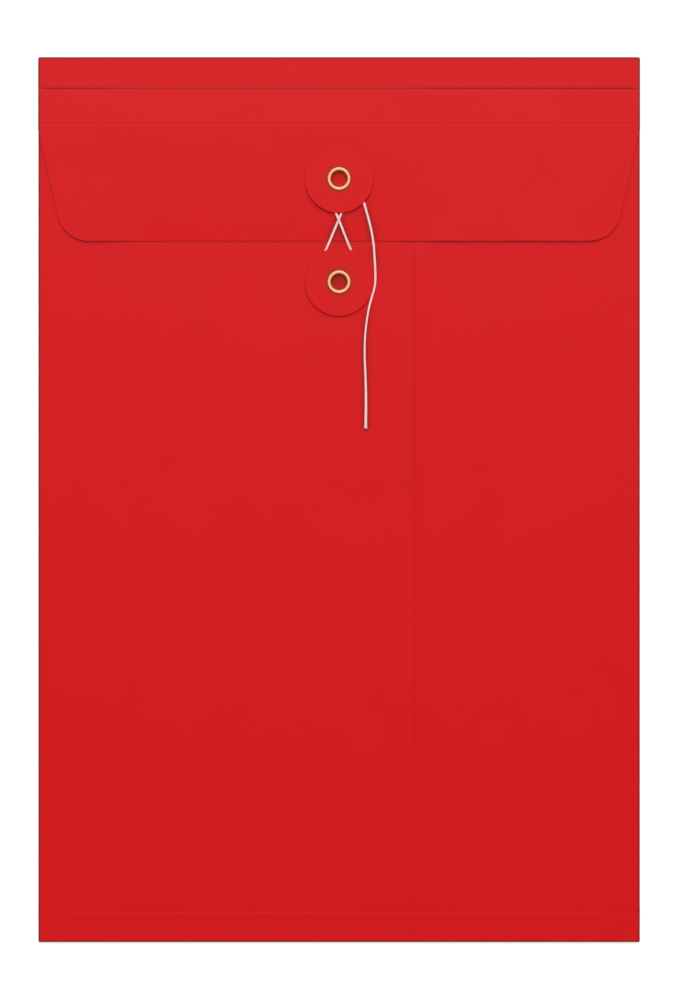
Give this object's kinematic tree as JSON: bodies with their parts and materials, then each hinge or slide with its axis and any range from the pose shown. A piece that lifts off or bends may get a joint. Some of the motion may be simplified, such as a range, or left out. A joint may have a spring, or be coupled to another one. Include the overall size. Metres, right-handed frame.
{
  "type": "string tie envelope",
  "caption": "Red paper pocket envelope that lies flat, with folding side gussets, a V base and a round-cornered flap tied by a string wound under card washers on brass eyelets.",
  "frame": {"origin": "centre of the address panel's outer face, which lies on the table", "axes": "+X across to the right as seen from the flap side, +Y up the envelope towards the flap, +Z out of the flap side"},
  "size_m": [0.229, 0.3368, 0.005],
  "materials": {
    "red_paper": "smooth dyed paper with a faint sheen",
    "red_card": "smooth dyed card",
    "brass": "bright pale brass, rolled edges",
    "white_string": "twisted cotton"
  },
  "bodies": {
    "front": {"front_panel": "red_paper", "top_fold": "red_paper"},
    "left_gusset_front": {"left_gusset_front": "red_paper"},
    "left_gusset_rear": {"left_gusset_rear": "red_paper"},
    "right_gusset_front": {"right_gusset_front": "red_paper"},
    "right_gusset_rear": {"right_gusset_rear": "red_paper"},
    "back": {"back_panel_left": "red_paper", "back_panel_right": "red_paper", "lower_eyelet": "brass"},
    "base_front": {"base_front": "red_paper", "left_tuck_front": "red_paper", "right_tuck_front": "red_paper"},
    "base_rear": {"base_rear_left": "red_paper", "base_rear_right": "red_paper", "left_tuck_rear": "red_paper", "right_tuck_rear": "red_paper"},
    "flap_spine": {"flap_spine": "red_paper"},
    "flap_band": {"flap_band": "red_paper"},
    "flap_tongue": {"flap_tongue": "red_paper", "upper_eyelet": "brass", "string_winding": "white_string", "string_tail": "white_string"},
    "upper_washer": {"upper_washer": "red_card"},
    "lower_washer": {"lower_washer": "red_card"}
  },
  "joints": [
    {"name": "expand", "type": "hinge", "parent": "front", "child": "left_gusset_front", "pos_m": [-0.1145, 0, 0.00028], "axis": [0, -1, 0], "range_deg": [0, 90], "deforming": ["string_winding", "string_tail"]},
    {"name": "left_gusset_crease", "type": "hinge", "parent": "left_gusset_front", "child": "left_gusset_rear", "pos_m": [-0.103, 0, 0.00057], "axis": [0, 1, 0], "range_deg": [0, 180]},
    {"name": "left_back_fold", "type": "hinge", "parent": "left_gusset_rear", "child": "back", "pos_m": [-0.1145, 0, 0.00088], "axis": [0, -1, 0], "range_deg": [0, 90]},
    {"name": "right_gusset_fold", "type": "hinge", "parent": "front", "child": "right_gusset_front", "pos_m": [0.1145, 0, 0.00028], "axis": [0, 1, 0], "range_deg": [0, 90]},
    {"name": "right_gusset_crease", "type": "hinge", "parent": "right_gusset_front", "child": "right_gusset_rear", "pos_m": [0.103, 0, 0.00057], "axis": [0, -1, 0], "range_deg": [0, 180]},
    {"name": "base_front_fold", "type": "hinge", "parent": "front", "child": "base_front", "pos_m": [0, -0.15695, 0.00025], "axis": [-1, 0, 0], "range_deg": [0, 90]},
    {"name": "base_rear_fold", "type": "hinge", "parent": "back", "child": "base_rear", "pos_m": [0, -0.15695, 0.0009], "axis": [1, 0, 0], "range_deg": [0, 90]},
    {"name": "top_fold_hinge", "type": "hinge", "parent": "front", "child": "flap_spine", "pos_m": [0, 0.16845, 0.00183], "axis": [-1, 0, 0], "range_deg": [0, 90]},
    {"name": "flap_open", "type": "hinge", "parent": "flap_spine", "child": "flap_band", "pos_m": [0, 0.15625, 0.0021], "axis": [1, 0, 0], "range_deg": [-175, 0], "deforming": ["string_winding", "string_tail"]},
    {"name": "flap_crease", "type": "hinge", "parent": "flap_band", "child": "flap_tongue", "pos_m": [0, 0.14305, 0.00185], "axis": [1, 0, 0], "range_deg": [0, 90]},
    {"name": "upper_washer_spin", "type": "hinge", "parent": "flap_tongue", "child": "upper_washer", "pos_m": [0, 0.1221, 0.0021], "axis": [0, 0, 1], "continuous": true},
    {"name": "lower_washer_spin", "type": "hinge", "parent": "back", "child": "lower_washer", "pos_m": [0, 0.0829, 0.00115], "axis": [0, 0, 1], "continuous": true}
  ],
  "couplings": [
    {"joint": "left_gusset_crease", "follows": "expand", "ratio": 2},
    {"joint": "left_back_fold", "follows": "expand", "ratio": 1},
    {"joint": "right_gusset_fold", "follows": "expand", "ratio": 1},
    {"joint": "right_gusset_crease", "follows": "expand", "ratio": 2},
    {"joint": "base_front_fold", "follows": "expand", "ratio": 1},
    {"joint": "base_rear_fold", "follows": "expand", "ratio": 1},
    {"joint": "top_fold_hinge", "follows": "expand", "ratio": 1},
    {"joint": "flap_crease", "follows": "expand", "ratio": 1}
  ]
}
